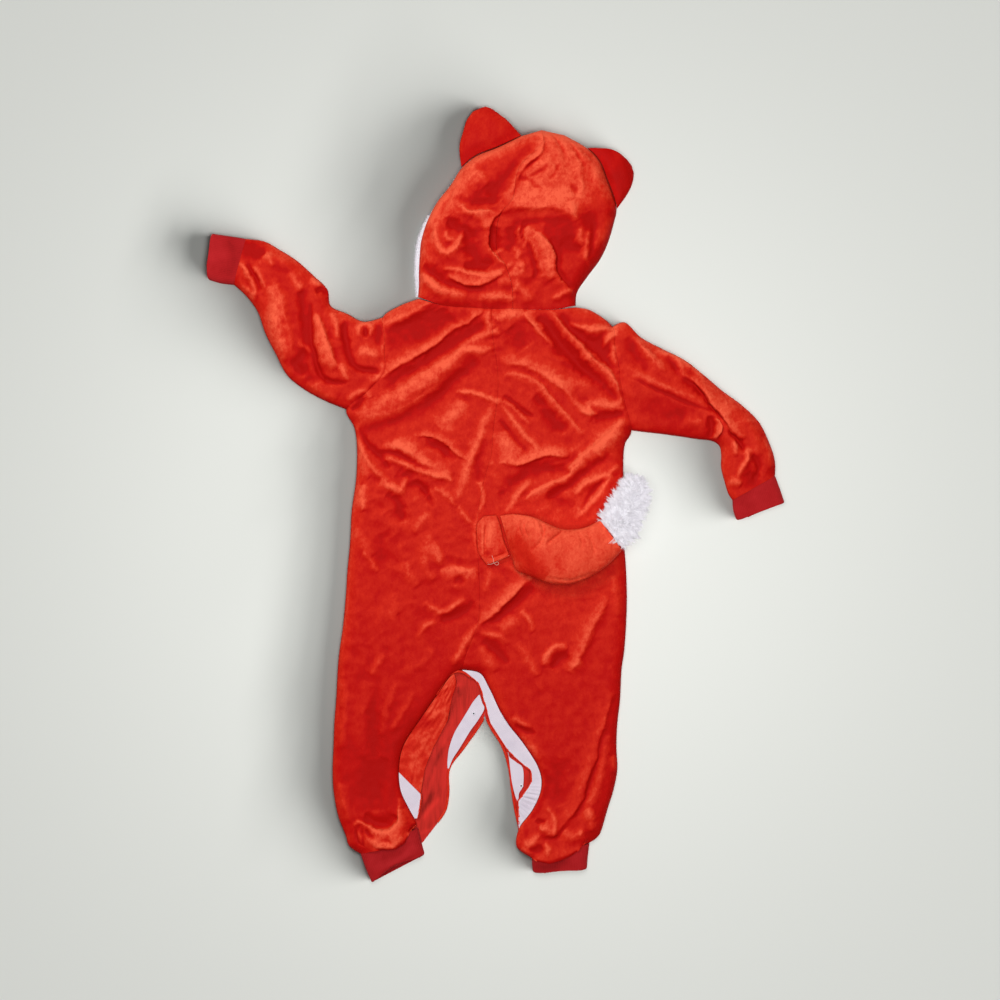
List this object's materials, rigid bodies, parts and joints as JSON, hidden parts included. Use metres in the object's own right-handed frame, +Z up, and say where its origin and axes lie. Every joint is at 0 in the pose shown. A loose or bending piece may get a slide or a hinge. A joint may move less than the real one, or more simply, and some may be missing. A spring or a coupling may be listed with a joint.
{
  "type": "fox onesie",
  "caption": "Toddler's hooded fox onesie in red velour, laid flat with its back up: hood with ears, rib cuffs, open inner-leg tapes, stuffed tail with a white fur tip",
  "frame": {"origin": "centre of the laid garment's box in X and Y, on the surface that it lies on", "axes": "+Y towards the hood, +X to the right of the garment seen from above, +Z up out of the garment's back"},
  "size_m": [0.664, 0.891, 0.0478],
  "materials": {
    "velour": "shiny short-pile velour, crushed in places",
    "velour_inside": "plain knitted back of the velour",
    "rib_knit": "matt rib knit",
    "white_tape": "matt woven tape",
    "white_fur": "long-pile fur",
    "white_plush": "short white plush"
  },
  "bodies": {
    "root": {"back_left": "velour", "back_right": "velour", "sleeve_left": "velour", "sleeve_right": "velour", "hood_left": "velour", "hood_right": "velour", "ear_left": "velour", "ear_right": "velour", "tail_body": "velour", "tail_tab": "velour", "back_band_left": "velour", "front_left": "velour_inside", "front_right": "velour_inside", "wrist_cuff_left": "rib_knit", "wrist_cuff_right": "rib_knit", "ankle_cuff_left": "rib_knit", "ankle_cuff_right": "rib_knit", "back_tape_left": "white_tape", "back_tape_right": "white_tape", "front_tape_left": "white_tape", "front_tape_right": "white_tape", "tail_tip": "white_fur", "hood_trim": "white_plush"}
  },
  "joints": []
}
